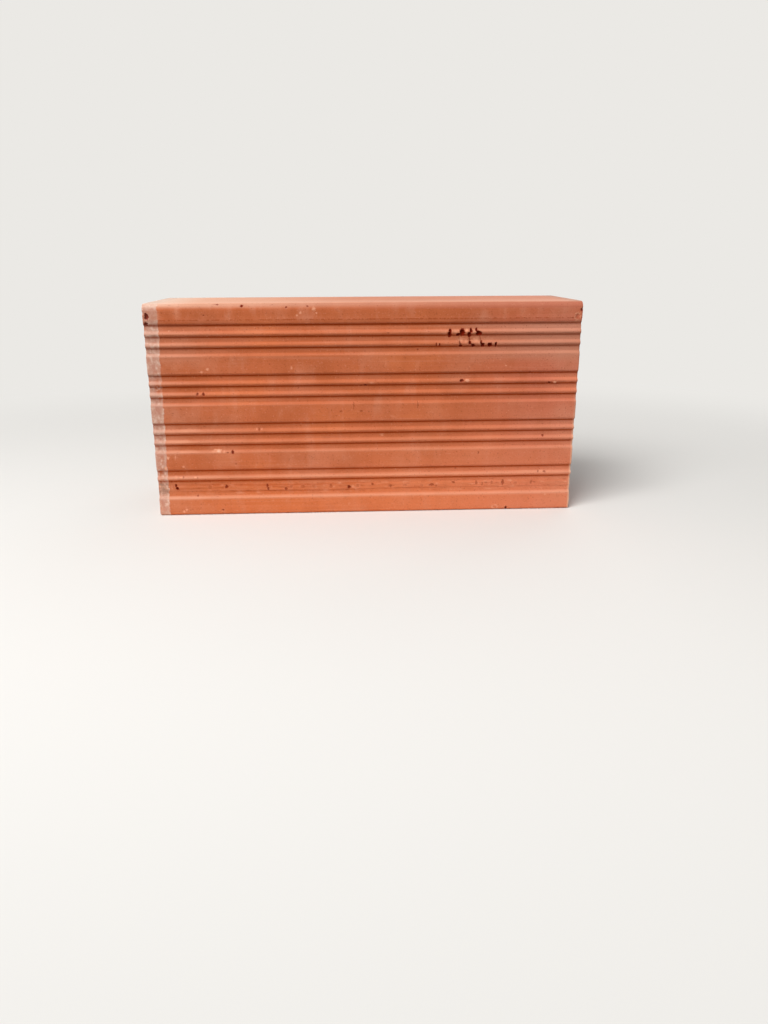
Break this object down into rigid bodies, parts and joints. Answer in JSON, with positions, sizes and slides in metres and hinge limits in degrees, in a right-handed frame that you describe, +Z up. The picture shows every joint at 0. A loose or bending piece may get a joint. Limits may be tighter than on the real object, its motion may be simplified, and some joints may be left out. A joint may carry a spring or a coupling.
{
  "type": "hollow clay block",
  "caption": "Extruded terracotta block with through cells along its length and scored long faces that key plaster or mortar, for walls and screens.",
  "frame": {"origin": "middle of the lower bed face, the long narrow face that the block stands on", "axes": "+X along the block's length, which is the way it was extruded; +Y through its thickness, from the pictured scored face to the one behind; +Z up"},
  "size_m": [0.3, 0.09, 0.149],
  "materials": {
    "fired_clay": "unglazed orange-red terracotta, matt, with fine drag lines along the extrusion and pale scum at one end"
  },
  "bodies": {
    "root": {"clay_block": "fired_clay"}
  },
  "joints": []
}
